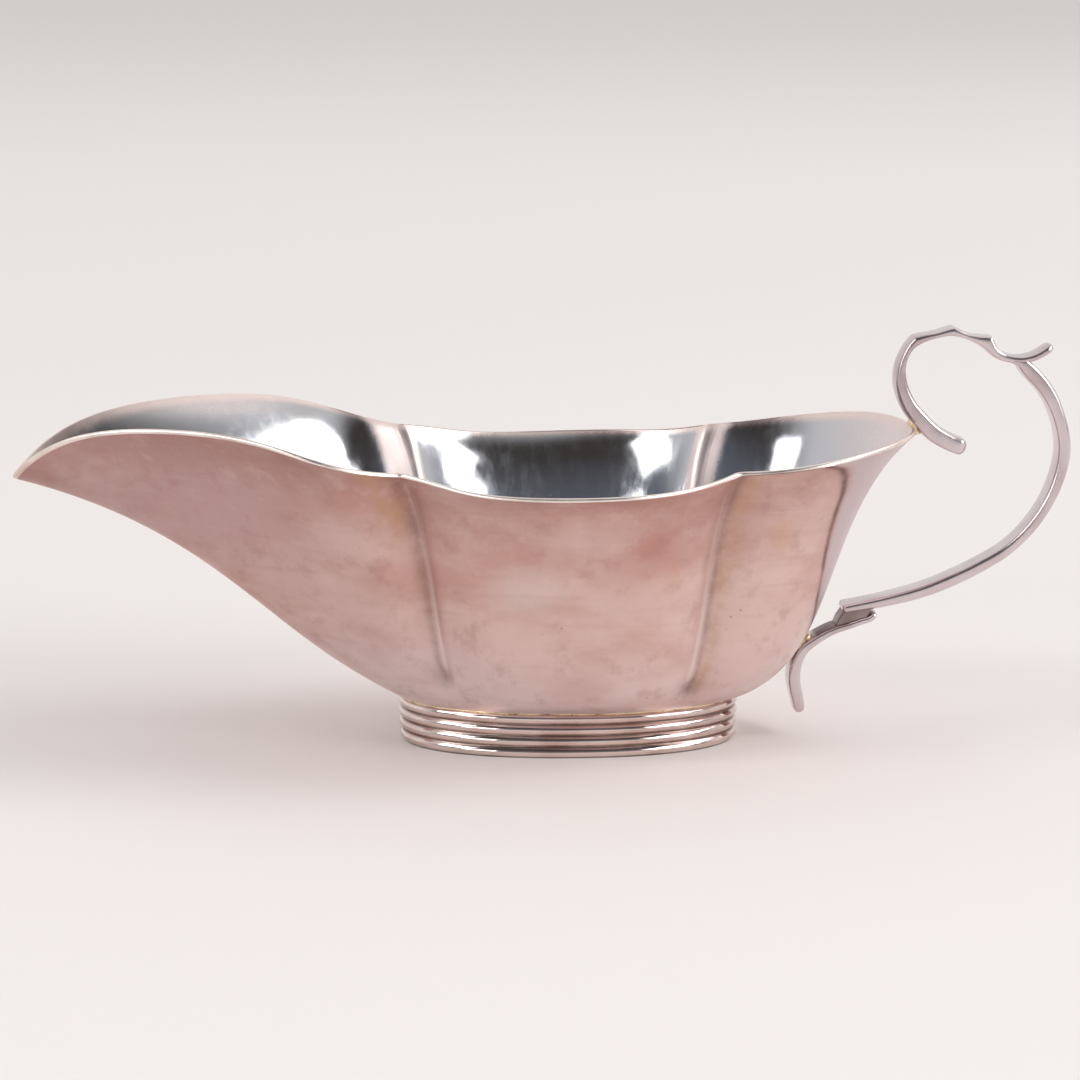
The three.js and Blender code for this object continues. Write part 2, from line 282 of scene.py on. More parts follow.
class Sheet(Nodes):
    """The nodes of one material, whose colour is laid on coat by coat."""

    def __init__(self, name: str, ground: Tone) -> None:
        """Starts a material with a plain shader.

        Args:
            name: The material's name.
            ground: The colour under all coats.
        """
        self.material = bpy.data.materials.new(name)
        self.material.use_nodes = True
        super().__init__(self.material.node_tree)
        self.shader = self.tree.nodes["Principled BSDF"]
        self.place = self.node("TexCoord").outputs["Object"]
        self.colour: Value = paint(ground)

    def attribute(self, name: str) -> Socket:
        """A number that the mesh carries at each point.

        Args:
            name: Its name.

        Returns:
            Its value.
        """
        node = self.node("Attribute")
        node.attribute_name = name
        return node.outputs["Fac"]

    def noise(self, per_metre: Triple, detail: float = 3.0, roughness: float = 0.55,
              lean: float = 0.0) -> Socket:
        """Soft irregular variation between 0 and 1.

        Args:
            per_metre: How many blotches there are in a metre along x, y and z.
            detail: How many finer layers are added.
            roughness: How strong the finer layers are.
            lean: How far the pattern is turned about y, in radians.

        Returns:
            The noise's value.
        """
        turned = self.node("Mapping", {"Vector": self.place, "Rotation": (0.0, lean, 0.0)})
        spread = self.node("Mapping", {"Vector": turned.outputs["Vector"], "Scale": per_metre})
        return self.node("TexNoise", {"Vector": spread.outputs["Vector"], "Scale": 1.0, "Detail": detail,
                                      "Roughness": roughness}).outputs["Fac"]

    def specks(self, per_metre: float, size: float) -> Socket:
        """Small round marks: 1 in their middle, 0 between them; their size is a share of a cell."""
        node = self.node("TexVoronoi", {"Vector": self.place, "Scale": per_metre})
        return self.ramp(node.outputs["Distance"], size, size * 0.4)

    def coat(self, share: Value, tone: Tone) -> None:
        """Lays a colour over what is there, by a share from 0 to 1."""
        self.colour = self.mix(share, self.colour, paint(tone))

    def stain(self, stain: Stain, ragged: float = 0.5) -> Socket:
        """Lays on one soft stain of uneven outline.

        Args:
            stain: The stain.
            ragged: How uneven its outline is.

        Returns:
            How much it covers, 0 to 1.
        """
        around = self.node("Mapping", {"Vector": self.place,
                                       "Location": [value * MILLIMETRE for value in stain.centre],
                                       "Scale": [value * MILLIMETRE for value in stain.reach]})
        around.vector_type = "TEXTURE"
        uneven = self.times(self.noise((150, 150, 150), 4, 0.6), ragged)
        distance = self.plus(self.length(around.outputs["Vector"]), uneven)
        cover = self.times(self.ramp(distance, 1.0 + ragged * 0.5, 0.25), stain.strength)
        self.coat(cover, stain.colour)
        return cover

    def finish(self, metal: Value, rough: Value, relief: list[tuple[Socket, float]]) -> bpy.types.Material:
        """Gives the shader its colour, its gloss and a fine relief.

        Args:
            metal: How much of a metal it is, 0 to 1.
            rough: How rough it is, 0 to 1.
            relief: Each layer's height, 0 to 1, and its depth in millimetres.

        Returns:
            The material.
        """
        facing: dict[str | int, Value] = {}
        for height, depth in relief:
            bump = self.node("Bump", {"Strength": 1.0, "Distance": depth * MILLIMETRE, "Height": height,
                                      **facing})
            facing = {"Normal": bump.outputs["Normal"]}
        self.fill(self.shader, {"Base Color": self.colour, "Metallic": metal, "Roughness": rough, **facing})
        return self.material


@dataclass(frozen=True)
class TarnishedSatin:
    """The bowl's outside: satin silver under a thin pink tarnish, with painted shade making it redder under
    the rim.
    """

    name: str = "tarnished_satin_silver"
    pale: Tone = (220, 190, 183)
    rosy: Tone = (202, 161, 152)
    # Used for tarnish mottles and streaks, and for the painted shade towards the rim.
    dusky_tarnish_and_shade: Tone = (173, 127, 118)
    ashen: Tone = (230, 211, 208)
    # Painted reflection: the paler lilac tone over the back's end.
    clean: Tone = (230, 215, 212)
    back_reflection_tone: Tone = (205, 188, 190)
    ochre: Tone = (190, 150, 118)
    # Brown for the flutes' tarnish lines and small marks, and for the painted dark reflection line on the
    # back.
    sunk: Tone = (100, 62, 54)
    metal: float = 0.6
    gloss: Pair = (0.33, 0.46)
    stains: tuple[Stain, ...] = (
        Stain((-62, -16, 40), (40, 24, 22), (199, 167, 168), 0.75),
        Stain((-4, -32, 30), (9, 12, 7), (214, 200, 194), 0.5),
        Stain((15, -36, 32), (16, 12, 14), (196, 152, 142), 0.5),
        Stain((17, -36, 38), (7, 12, 5), (184, 126, 114), 0.8),
        Stain((20, -34, 33), (4, 12, 5), (200, 150, 120), 0.35),
        Stain((-24, -31, 43), (3.5, 12, 4.5), (198, 154, 112), 0.75),
        Stain((-33, -33, 44), (9, 12, 5), (202, 152, 138), 0.6),
        Stain((38, -28, 38), (4, 12, 5), (200, 156, 126), 0.6),
        Stain((-58, -24, 44), (16, 12, 5), (202, 168, 170), 0.7),
        Stain((4, -38, 43), (16, 12, 3), (204, 160, 148), 0.45),
    )

    def make(self) -> bpy.types.Material:
        """The finish as a material.

        Returns:
            The material.
        """
        sheet = Sheet(self.name, self.pale)
        clouds = sheet.noise((34, 34, 60), 5, 0.6)
        grain = sheet.noise((900, 900, 1500), 2)
        self.lay_tarnish_and_shade(sheet, clouds)
        self.lay_wear_and_reflections(sheet)
        rough = sheet.ramp(clouds, 0.3, 0.7, *self.gloss)
        return sheet.finish(self.metal, rough, [(clouds, 0.1), (grain, 0.006)])

    def lay_tarnish_and_shade(self, sheet: Sheet, clouds: Socket) -> None:
        """Lays on the tarnish, painted shade that darkens it towards the rim, a lighter tone towards the
        foot, then the stains.

        Args:
            sheet: The material's nodes.
            clouds: Its wide blotches.
        """
        climb = sheet.attribute("climb")
        sheet.coat(sheet.ramp(clouds, 0.38, 0.66), self.rosy)
        # Painted shade: the wall darkens and reddens towards the rim.
        high = sheet.times(sheet.ramp(climb, 0.6, 0.99), sheet.ramp(clouds, 0.25, 0.6, 0.35, 0.9))
        sheet.coat(high, self.dusky_tarnish_and_shade)
        low = sheet.times(sheet.ramp(climb, 0.5, 0.1), sheet.ramp(clouds, 0.7, 0.35, 0.45, 0.85))
        sheet.coat(low, self.ashen)
        for stain in self.stains:
            sheet.stain(stain)

    def lay_wear_and_reflections(self, sheet: Sheet) -> None:
        """Lays on mottles and streaks, then what use and cleaning left, a painted pale reflection over the
        back's end and a painted dark reflection line along its edge.

        Args:
            sheet: The material's nodes.
        """
        mottle = sheet.noise((190, 190, 190), 4, 0.65)
        streaks = sheet.noise((36, 36, 620), 4, 0.6)
        sheet.coat(sheet.ramp(mottle, 0.5, 0.72, 0, 0.35), self.dusky_tarnish_and_shade)
        sheet.coat(sheet.ramp(mottle, 0.46, 0.3, 0, 0.3), self.pale)
        sheet.coat(sheet.ramp(streaks, 0.52, 0.8, 0, 0.2), self.dusky_tarnish_and_shade)
        sheet.coat(sheet.ramp(streaks, 0.42, 0.2, 0, 0.16), self.clean)
        # Painted reflection: the back's end turns paler and lilac.
        sheet.coat(sheet.times(sheet.attribute("clean"), 0.9), self.back_reflection_tone)
        sheet.coat(sheet.times(sheet.attribute("halo"), sheet.ramp(mottle, 0.35, 0.6, 0.25, 1)), self.ochre)
        sheet.coat(sheet.attribute("rub"), self.clean)
        # The line value holds brown tarnish in the flutes and a painted dark reflection line along the edge
        # of the back's pale end.
        sheet.coat(sheet.times(sheet.attribute("line"), sheet.ramp(mottle, 0.3, 0.6, 0.6, 1)), self.sunk)
        marks = sheet.times(sheet.specks(420, 0.12), sheet.ramp(sheet.noise((60, 60, 60), 2), 0.58, 0.66))
        sheet.coat(sheet.times(marks, 0.4), self.sunk)


@dataclass(frozen=True)
class PolishedInside:
    """The bowl's inside: polished, with fine wiping marks, and a rosy painted highlight where it turns out
    at the rim and on the crest of each flute.
    """

    name: str = "polished_inside_silver"
    clear: Tone = (196, 198, 203)
    warm: Tone = (194, 187, 178)
    rosy_highlight: Tone = (234, 216, 210)
    gloss: Pair = (0.1, 0.2)
    film_metal: float = 0.5
    film_ragged: float = 0.3
    film: tuple[Stain, ...] = (
        Stain((68, 0, 50), (30, 44, 18), (232, 216, 214), 1.0),
        Stain((-58, 22, 54), (34, 14, 3.4), (228, 212, 208), 0.6),
    )

    def make(self) -> bpy.types.Material:
        """The finish as a material.

        Returns:
            The material.
        """
        sheet = Sheet(self.name, self.clear)
        climb = sheet.attribute("climb")
        ridge_highlight = sheet.attribute("ridge_highlight")
        clouds = sheet.noise((26, 26, 26), 3)
        wiping = sheet.noise((500, 500, 90), 3, 0.7)
        sheet.coat(sheet.ramp(clouds, 0.45, 0.72), self.warm)
        film: Value = 0.0
        for stain in self.film:
            film = sheet.plus(film, sheet.stain(stain, self.film_ragged))
        # Painted highlight: a rosy pale band where the wall turns out at the rim, and along the crest of
        # each flute.
        sheet.coat(sheet.ramp(climb, 0.95, 0.985), self.rosy_highlight)
        sheet.coat(ridge_highlight, self.rosy_highlight)
        rough = sheet.plus(sheet.ramp(wiping, 0.3, 0.75, *self.gloss), sheet.ramp(climb, 0.95, 0.99, 0, 0.2))
        for value, more in ((film, 0.2), (ridge_highlight, 0.3), (self.scratches(sheet, clouds, climb), 0.12)):
            rough = sheet.plus(rough, sheet.times(value, more))
        metal = sheet.ramp(film, 0.0, 1.0, 1.0, self.film_metal)
        return sheet.finish(metal, rough, [(clouds, 0.12), (wiping, 0.003)])

    def scratches(self, sheet: Sheet, clouds: Socket, climb: Socket) -> Socket:
        """Fine scratches that cross, in patches below the rim.

        Args:
            sheet: The material's nodes.
            clouds: Its wide blotches.
            climb: How high a point lies on the wall.

        Returns:
            1 on a scratch, 0 beside it.
        """
        rising = sheet.ramp(sheet.noise((160, 400, 2600), 2, 0.5, 0.7), 0.66, 0.72)
        falling = sheet.ramp(sheet.noise((200, 400, 2300), 2, 0.5, -0.5), 0.66, 0.72)
        shown = sheet.times(sheet.ramp(clouds, 0.4, 0.6), sheet.ramp(climb, 0.93, 0.8))
        return sheet.times(sheet.plus(rising, falling), shown)


@dataclass(frozen=True)
class WornSilver:
    """Bright worn silver: clear on what is rubbed, with brown painted shade where the mesh's sunk value is
    high.
    """

    name: str
    clear: Tone = (238, 222, 216)
    dull: Tone = (212, 190, 184)
    # The colour of the painted shade.
    sunk: Tone = (96, 70, 58)
    gloss: Pair = (0.08, 0.2)
    scratches: Triple = (300, 300, 1400)
    scratch_depth: float = 0.003

    def make(self) -> bpy.types.Material:
        """The finish as a material.

        Returns:
            The material.
        """
        sheet = Sheet(self.name, self.clear)
        blotches = sheet.noise((90, 90, 90), 3)
        scratches = sheet.noise(self.scratches, 2, 0.7)
        sheet.coat(sheet.ramp(blotches, 0.4, 0.7), self.dull)
        # Painted shade: brown where the mesh's sunk value is high.
        painted_shade = sheet.times(sheet.attribute("sunk"), sheet.ramp(blotches, 0.25, 0.6, 0.6, 1))
        sheet.coat(painted_shade, self.sunk)
        rough = sheet.plus(sheet.ramp(scratches, 0.3, 0.75, *self.gloss), sheet.times(painted_shade, 0.25))
        return sheet.finish(1.0, rough, [(blotches, 0.04), (scratches, self.scratch_depth)])


RIM_SILVER = WornSilver(
    name="worn_rim_silver",
    clear=(250, 238, 230),
    dull=(226, 206, 196),
    gloss=(0.28, 0.38),
)
FOOT_SILVER = WornSilver(
    name="worn_foot_silver",
    gloss=(0.05, 0.14),
    scratches=(120, 120, 500),
)
HANDLE_SILVER = WornSilver(
    name="worn_handle_silver",
    clear=(216, 204, 205),
    dull=(194, 178, 179),
    gloss=(0.2, 0.28),
    scratches=(140, 60, 140),
    scratch_depth=0.004,
)


@dataclass(frozen=True)
class Solder:
    """Solder in a joint: pale gold with brown pits."""

    name: str = "golden_solder"
    golden: Tone = (236, 214, 178)
    brown: Tone = (140, 108, 84)
    metal: float = 0.85

    def make(self) -> bpy.types.Material:
        """The finish as a material.

        Returns:
            The material.
        """
        sheet = Sheet(self.name, self.golden)
        blotches = sheet.noise((420, 420, 420), 3, 0.6)
        sheet.coat(sheet.ramp(blotches, 0.5, 0.72), self.brown)
        return sheet.finish(self.metal, sheet.ramp(blotches, 0.3, 0.7, 0.24, 0.5), [(blotches, 0.12)])


@dataclass
class RingMesh:
    """A skin through rings of points, each with the same count: a closed loop, or closed at both ends."""

    rings: list[np.ndarray]
    origin: Triple
    loop: bool = False

    def faces(self) -> list[tuple[int, ...]]:
        """The faces between the rings, band by band, then those of the two ends.

        Returns:
            The numbers of each face's points.
        """
        count = len(self.rings[0])
        total = len(self.rings)
        found: list[tuple[int, ...]] = []
        for row in range(total if self.loop else total - 1):
            below = row * count
            above = ((row + 1) % total) * count
            for i in range(count):
                after = (i + 1) % count
                found.append((below + i, below + after, above + after, above + i))
        if not self.loop:
            middle = total * count
            top = middle - count
            for i in range(count):
                after = (i + 1) % count
                found.append((middle, after, i))
                found.append((middle + 1, top + i, top + after))
        return found

    def points(self) -> np.ndarray:
        """All points, with a middle point for each closed end.

        Returns:
            The points in the frame, in metres.
        """
        rows = list(self.rings)
        if not self.loop:
            rows += [ring.mean(axis=0, keepdims=True) for ring in (self.rings[0], self.rings[-1])]
        return (np.concatenate(rows) + np.array(self.origin)) * MILLIMETRE


def add_piece(name: str, skin: RingMesh, materials: list[bpy.types.Material],
              values: dict[str, np.ndarray] | None = None,
              indices: list[int] | None = None) -> bpy.types.Object:
    """Makes a smooth mesh object that rides on the body.

    Args:
        name: The piece's name.
        skin: Its points and faces.
        materials: The materials that it wears.
        values: Numbers that each point carries for the materials.
        indices: The material of each face.

    Returns:
        The new object.
    """
    mesh = bpy.data.meshes.new(name)
    mesh.from_pydata(skin.points().tolist(), [], skin.faces())
    for finish in materials:
        mesh.materials.append(finish)
    if indices is not None:
        mesh.polygons.foreach_set("material_index", indices)
    for label, numbers in (values or {}).items():
        layer = mesh.attributes.new(label, "FLOAT", "POINT")
        layer.data.foreach_set("value", numbers.astype(np.float32))
    mesh.validate()
    mesh.shade_smooth()
    piece = add_object(name, mesh)
    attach(piece, BODY)
    log.info("%s: %d points, %d faces", name, len(mesh.vertices), len(mesh.polygons))
    return piece


@dataclass
class FootCollar:
    """The oval collar with round reeds, open underneath; middle is its place along the frame's x."""

    middle: float
    half_length: float = 28.9
    half_width: float = 18.4
    height: float = 7.6
    reeds: int = 4
    reed_depth: float = 0.55
    reed_fullness: float = 1.15
    groove_shade_reach: float = 1.9
    draft: float = 0.35
    wall: float = 1.9
    chamfer: float = 0.25
    lower_edge: float = 0.2
    oval_power: float = 2.2
    seam_radius: float = 0.2
    seam_inset: float = 0.42
    seam_sunk: float = 0.02
    seam_waves: tuple[Triple, ...] = ((9, 1, 0.04), (23, 0, 0.03), (41, 0, 0.03))
    around: int = 320
    steps: int = 14

    @property
    def top(self) -> Triple:
        """The middle of its upper face in the frame, from which the other pieces are measured."""
        return (self.middle, 0.0, self.height)

    def angles(self) -> np.ndarray:
        """The directions of the columns, in radians."""
        return np.linspace(0, 2 * math.pi, self.around, endpoint=False)

    def oval(self, half_length: float, half_width: float, angle: np.ndarray) -> np.ndarray:
        """Points of an oval.

        Args:
            half_length: Half its length.
            half_width: Half its width.
            angle: Angles round it, in radians.

        Returns:
            One row of x and y for each angle.
        """
        toward = np.arctan2(half_width * np.sin(angle), half_length * np.cos(angle))
        along = np.abs(np.cos(toward) / half_length) ** self.oval_power
        across = np.abs(np.sin(toward) / half_width) ** self.oval_power
        reach = (along + across) ** (-1 / self.oval_power)
        return np.stack([reach * np.cos(toward), reach * np.sin(toward)], axis=-1)

    def profile(self) -> list[Triple]:
        """The section, up the reeds outside and down the plain inside.

        Returns:
            How far each point lies out from the outline, its height and how much painted shade it carries.
        """
        found = []
        for row in range(self.reeds * self.steps):
            share = row / (self.reeds * self.steps)
            swell = math.sin(math.pi * (row % self.steps) / self.steps) ** self.reed_fullness
            offset = self.reed_depth * (swell - 1) - self.draft * (1 - share)
            # Painted shade: full in the groove between reeds, gone where a reed swells out.
            found.append((offset, self.height * share, max(0.0, 1 - swell * self.groove_shade_reach)))
        inner = -self.wall - self.draft
        # Painted shade also on the top edge under the bowl and on the inner faces.
        return found + [
            (-self.reed_depth, self.height, 1.0),
            (-self.wall, self.height, 0.6),
            (-self.wall - self.draft / 2, self.height / 2, 0.5),
            (inner, self.chamfer, 0.3),
            (inner + self.chamfer, 0.0, 0.0),
            (-self.reed_depth - self.draft - self.lower_edge, 0.0, 0.0),
        ]

    def build(self, finish: bpy.types.Material) -> bpy.types.Object:
        """Makes the collar, which stands for its solid.

        Args:
            finish: What it wears.

        Returns:
            The collar.
        """
        rings = []
        sunk = []
        for offset, height, depth in self.profile():
            edge = self.oval(self.half_length + offset, self.half_width + offset, self.angles())
            rings.append(np.column_stack([edge, np.full(self.around, height)]))
            sunk.append(np.full(self.around, depth))
        skin = RingMesh(rings, (self.middle, 0.0, 0.0), loop=True)
        # The sunk value carries painted shade.
        values = {"sunk": np.concatenate(sunk)}
        collar = add_piece("reeded_foot_collar", skin, [finish], values)
        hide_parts("foot_collar")
        return collar

    def build_seam(self, finish: bpy.types.Material) -> bpy.types.Object:
        """Makes the uneven line of solder between collar and bowl.

        Args:
            finish: What it wears.

        Returns:
            The solder line.
        """
        angle = self.angles()
        edge = self.oval(self.half_length, self.half_width, angle)
        outward = edge / np.linalg.norm(edge, axis=1, keepdims=True)
        radius = self.seam_radius + sum(size * np.sin(waves * angle + shift)
                                        for waves, shift, size in self.seam_waves)
        rings = []
        for turn in np.linspace(0, 2 * math.pi, 10, endpoint=False):
            ring = edge + outward * (radius * math.cos(turn) - self.seam_inset)[:, None]
            rings.append(np.column_stack([ring, radius * math.sin(turn) - self.seam_sunk]))
        skin = RingMesh(rings, self.top, loop=True)
        return add_piece("foot_solder_line", skin, [finish])


@dataclass(frozen=True)
class Shares:
    """A share of the way from foot to rim at the back, at the side and under the lip."""

    back: float
    side: float
    lip: float

    def at(self, angle: np.ndarray) -> np.ndarray:
        """The share in each direction, eased from the back over the side to the lip.

        Args:
            angle: Directions, 0 to the back, in radians.

        Returns:
            The shares.
        """
        even = (self.back + self.lip) / 2
        first = (self.back - self.lip) / 2
        second = (even - self.side) / 2
        return (even + self.side) / 2 + first * np.cos(angle) + second * np.cos(2 * angle)


@dataclass(frozen=True)
class Streak:
    """A soft streak along a line: how strong it is, its place beside the line and its width."""

    strength: float
    offset: float
    width: float

    def at(self, distance: np.ndarray) -> np.ndarray:
        """Its strength at each distance from the line."""
        return self.strength * bell(distance, self.offset, self.width)


@dataclass
class Bowl:
    """The bowl: raised from sheet, four lobes between four flutes, a long pouring lip.

    A whole turn is 4, a lobe each, and a climb goes from 0 at the foot to 1 at the rim. The flutes
    stand at turn 0 and 1 at the back, near and far, and at 2 and 3 by the lip, far and near.
    Streaks and sides are measured in turns from a flute, or from the edge of the painted reflection at the
    back's end.
    """

    foot: FootCollar
    sheet: float = 0.8
    seat_inset: float = 0.3
    seat_width: float = 2.2
    bottom_sag: float = 2.2
    back_lobe: tuple[Triple, ...] = ((26.6, 28.3, 41.4), (39, 31.3, 42.2), (56, 20.3, 45.5), (59.3, 0, 44.5))
    side_lobe: tuple[Triple, ...] = (
        (26.6, 28.3, 41.4),
        (19.9, 33.1, 39.6),
        (9.9, 40.9, 39),
        (-16.9, 36.2, 38.3),
        (-22.4, 32.2, 40.8),
        (-28.4, 28.5, 41.5),
    )
    lip_lobe: tuple[Triple, ...] = (
        (-28.4, 28.5, 41.5),
        (-38.5, 34.9, 42.7),
        (-48.4, 30.7, 47.1),
        (-65.7, 20.4, 47.9),
        (-82.5, 12.6, 46.3),
        (-91.7, 7, 39.5),
        (-93.5, 0, 36),
    )
    belly_out: Shares = Shares(0.6, 0.62, 0.35)
    belly_up: Shares = Shares(0.11, 0.08, 0.265)
    neck_out: Shares = Shares(0.45, 0.54, 0.456)
    neck_up: Shares = Shares(0.69, 0.81, 0.76)
    swell: Shares = Shares(0.2, 1.5, 0.2)
    flute_spread: float = 0.147
    flute_drift: float = 0.083
    groove_depth: float = 0.45
    groove_at_rim: float = 0.02625
    groove_at_foot: float = 0.05625
    groove_start: float = 0.08
    dimple_depth: float = 0.6
    dimple_climb: float = 0.2
    dimple_width: float = 0.03
    dimple_height: float = 0.04
    dimple_start: float = 0.06
    crease_at_rim: float = 0.014
    crease_at_foot: float = 0.06
    crease_fade: Pair = (0.12, 0.3)
    worn_from: Pair = (0.15, 0.25)
    brown_line: Streak = Streak(0.42, 0.0, 0.009)
    brown_dimple: Streak = Streak(0.5, 0.0, 0.032)
    brown_dimple_up: Streak = Streak(1.0, 0.19, 0.045)
    rubbed_edge: Streak = Streak(0.65, 0.02, 0.008)
    ochre_halo: Streak = Streak(0.6, -0.018, 0.013)
    halo_at_lip_from: Pair = (0.6, 0.8)
    # Painted highlight along the crest of each flute inside.
    ridge_strength: float = 0.85
    ridge_sides: Pair = (0.016, 0.034)
    ridge_from: Pair = (0.06, 0.2)
    # Painted reflection: a dark line along the edge of the back's pale end, and that pale end itself.
    dark_reflection_line: Streak = Streak(0.95, 0.0, 0.008)
    dark_reflection_line_from: Pair = (0.25, 0.4)
    back_reflection_fade: float = 0.03
    back_reflection_edge: tuple[Pair, ...] = (
        (0.0, 0.49),
        (0.2, 0.46),
        (0.32, 0.39),
        (0.475, 0.289),
        (0.63, 0.236),
        (0.72, 0.216),
        (0.84, 0.195),
        (0.92, 0.166),
        (0.96, 0.143),
        (1.0, 0.1),
    )
    rows_outside: int = 120
    rows_inside: int = 90
    last_row: float = 0.992
    row_crowding: float = 1.12
    columns: tuple[int, int, int, int] = (320, 140, 200, 140)
    column_crowding: float = 0.8

    def __post_init__(self) -> None:
        """Lays out the rim, as a table of points against the turn, and the columns."""
        near_back, near_side, near_lip = ([(x, -y, z) for x, y, z in lobe]
                                          for lobe in (self.back_lobe, self.side_lobe, self.lip_lobe))
        lobes = [
            [*near_back, *reversed(self.back_lobe[:-1])],
            list(self.side_lobe),
            [*self.lip_lobe, *reversed(near_lip[:-1])],
            near_side[::-1],
        ]
        steps = np.linspace(0, 1, 500, endpoint=False)
        self.rim_table = np.concatenate([self.lobe_points(lobe, steps) for lobe in lobes])
        self.rim_table = np.vstack([self.rim_table, self.rim_table[:1]])
        self.rim_turns = np.linspace(0, 4, len(self.rim_table))
        self.turns = self.column_turns()

    @staticmethod
    def lobe_points(controls: list[Triple], shares: np.ndarray) -> np.ndarray:
        """A smooth curve drawn towards its middle points, through its two ends.

        Args:
            controls: The points that draw the curve.
            shares: How far along the curve each wanted point lies.

        Returns:
            The curve's points.
        """
        spans = len(controls) - 3
        knots = np.concatenate([[0, 0, 0], np.linspace(0, 1, spans + 1), [1, 1, 1]])
        basis = [np.where((shares >= low) & (shares < high), 1.0, 0.0)
                 for low, high in zip(knots, knots[1:])]
        for degree in (1, 2, 3):
            raised = []
            for i in range(len(knots) - 1 - degree):
                total = np.zeros_like(shares)
                if knots[i + degree] > knots[i]:
                    total += (shares - knots[i]) / (knots[i + degree] - knots[i]) * basis[i]
                if knots[i + degree + 1] > knots[i + 1]:
                    width = knots[i + degree + 1] - knots[i + 1]
                    total += (knots[i + degree + 1] - shares) / width * basis[i + 1]
                raised.append(total)
            basis = raised
        return np.stack(basis, axis=1) @ np.array(controls, dtype=float)

    def rim(self, turn: np.ndarray) -> np.ndarray:
        """Points of the rim at each turn, which starts from the near back flute."""
        wrapped = np.mod(turn, 4)
        return np.stack([np.interp(wrapped, self.rim_turns, places) for places in self.rim_table.T], axis=-1)

    def bare_wall(self, turn: np.ndarray, climb: np.ndarray) -> np.ndarray:
        """Points of the outside with sharp flutes.

        Args:
            turn: Where round the bowl, 0 to 4.
            climb: How high, from 0 at the foot to 1 at the rim.

        Returns:
            The points, with height above the foot.
        """
        angle = (turn - 0.5) * math.pi / 2
        seated = angle + self.flute_spread * np.sin(2 * angle) + self.flute_drift * np.sin(angle)
        base = self.foot.oval(self.foot.half_length - self.seat_inset,
                              self.foot.half_width - self.seat_inset, seated)
        low = np.concatenate([base, np.zeros_like(base[..., :1])], axis=-1)
        way = self.rim(turn) - low

        def bend(out: Shares, up: Shares) -> np.ndarray:
            """A point that draws the wall's curve towards itself."""
            share = out.at(angle)
            return low + way * np.stack([share, share, up.at(angle)], axis=-1)

        t = climb[..., None]
        belly = bend(self.belly_out, self.belly_up)
        neck = bend(self.neck_out, self.neck_up)
        points = ((1 - t) ** 3 * low + 3 * (1 - t) ** 2 * t * belly + 3 * (1 - t) * t * t * neck
                  + t ** 3 * (low + way))
        off_middle = np.abs(2 * np.mod(turn, 1) - 1)
        rise = np.sin(math.pi * np.minimum(climb, 0.5)) * (1 - climb ** 8)
        fuller = self.swell.at(angle) * 4 * (off_middle ** 2 - off_middle ** 4) * rise
        return self.pushed(points, fuller)

    @staticmethod
    def pushed(points: np.ndarray, distance: np.ndarray) -> np.ndarray:
        """Points of the wall, each moved level and away from the bowl's middle by its distance."""
        outward = points[..., :2] / np.linalg.norm(points[..., :2], axis=-1, keepdims=True)
        return np.concatenate([points[..., :2] + outward * distance[..., None], points[..., 2:]], axis=-1)

    def wall(self, turn: np.ndarray, climb: np.ndarray) -> np.ndarray:
        """Points of the outside, with each flute softened, sunk and ended in a dimple.

        Args:
            turn: Where round the bowl, 0 to 4.
            climb: How high, from 0 at the foot to 1 at the rim.

        Returns:
            The points, with height above the foot.
        """
        away = np.abs(turn - np.round(turn))
        soft = self.crease_at_rim + self.crease_at_foot * (1 - climb) ** 3
        soft = soft * (1 - smooth_step(away, *self.crease_fade))
        total = np.zeros(turn.shape + (3,))
        weights = 0.0
        for offset in np.linspace(-1, 1, 7):
            weight = 1.15 - offset * offset
            total += weight * self.bare_wall(turn + offset * soft, climb)
            weights += weight
        reach = self.groove_at_rim + (self.groove_at_foot - self.groove_at_rim) * (1 - climb)
        fade = smooth_step(climb, self.groove_start, self.dimple_climb) * np.sin(math.pi * climb) ** 0.6
        groove = self.groove_depth * bell(away, 0.0, reach) * fade
        dimple = bell(away, 0.0, self.dimple_width) * bell(climb, self.dimple_climb, self.dimple_height)
        sunk = groove + self.dimple_depth * dimple * smooth_step(climb, 0.0, self.dimple_start)
        return self.pushed(total / weights, -sunk)

    def facing(self, turn: np.ndarray, climb: np.ndarray) -> tuple[np.ndarray, np.ndarray]:
        """Which way the wall faces.

        Args:
            turn: Where round the bowl, 0 to 4.
            climb: How high, from 0 at the foot to 1 at the rim.

        Returns:
            The way out of the wall and the way up along it, both of length 1.
        """
        step = 0.004
        up = self.wall(turn, np.clip(climb + step, 0, 1)) - self.wall(turn, np.clip(climb - step, 0, 1))
        up /= np.linalg.norm(up, axis=-1, keepdims=True)
        out = np.cross(self.wall(turn + step, climb) - self.wall(turn - step, climb), up)
        out /= np.linalg.norm(out, axis=-1, keepdims=True)
        return out, up

    def column_turns(self) -> np.ndarray:
        """Where the columns stand: close together at the flutes, wider in the lobes.

        Returns:
            The turns.
        """
        found = []
        for lobe, count in enumerate(self.columns):
            share = np.linspace(0, 1, count, endpoint=False)
            crowded = self.column_crowding * np.sin(2 * math.pi * share) / (2 * math.pi)
            found.append(lobe + share - crowded)
        return np.concatenate(found)

    def climbs(self, rows: int) -> np.ndarray:
        """How high each row of a face stands, closer together towards the rim."""
        return self.last_row * (1 - (1 - np.linspace(0, 1, rows)) ** self.row_crowding)

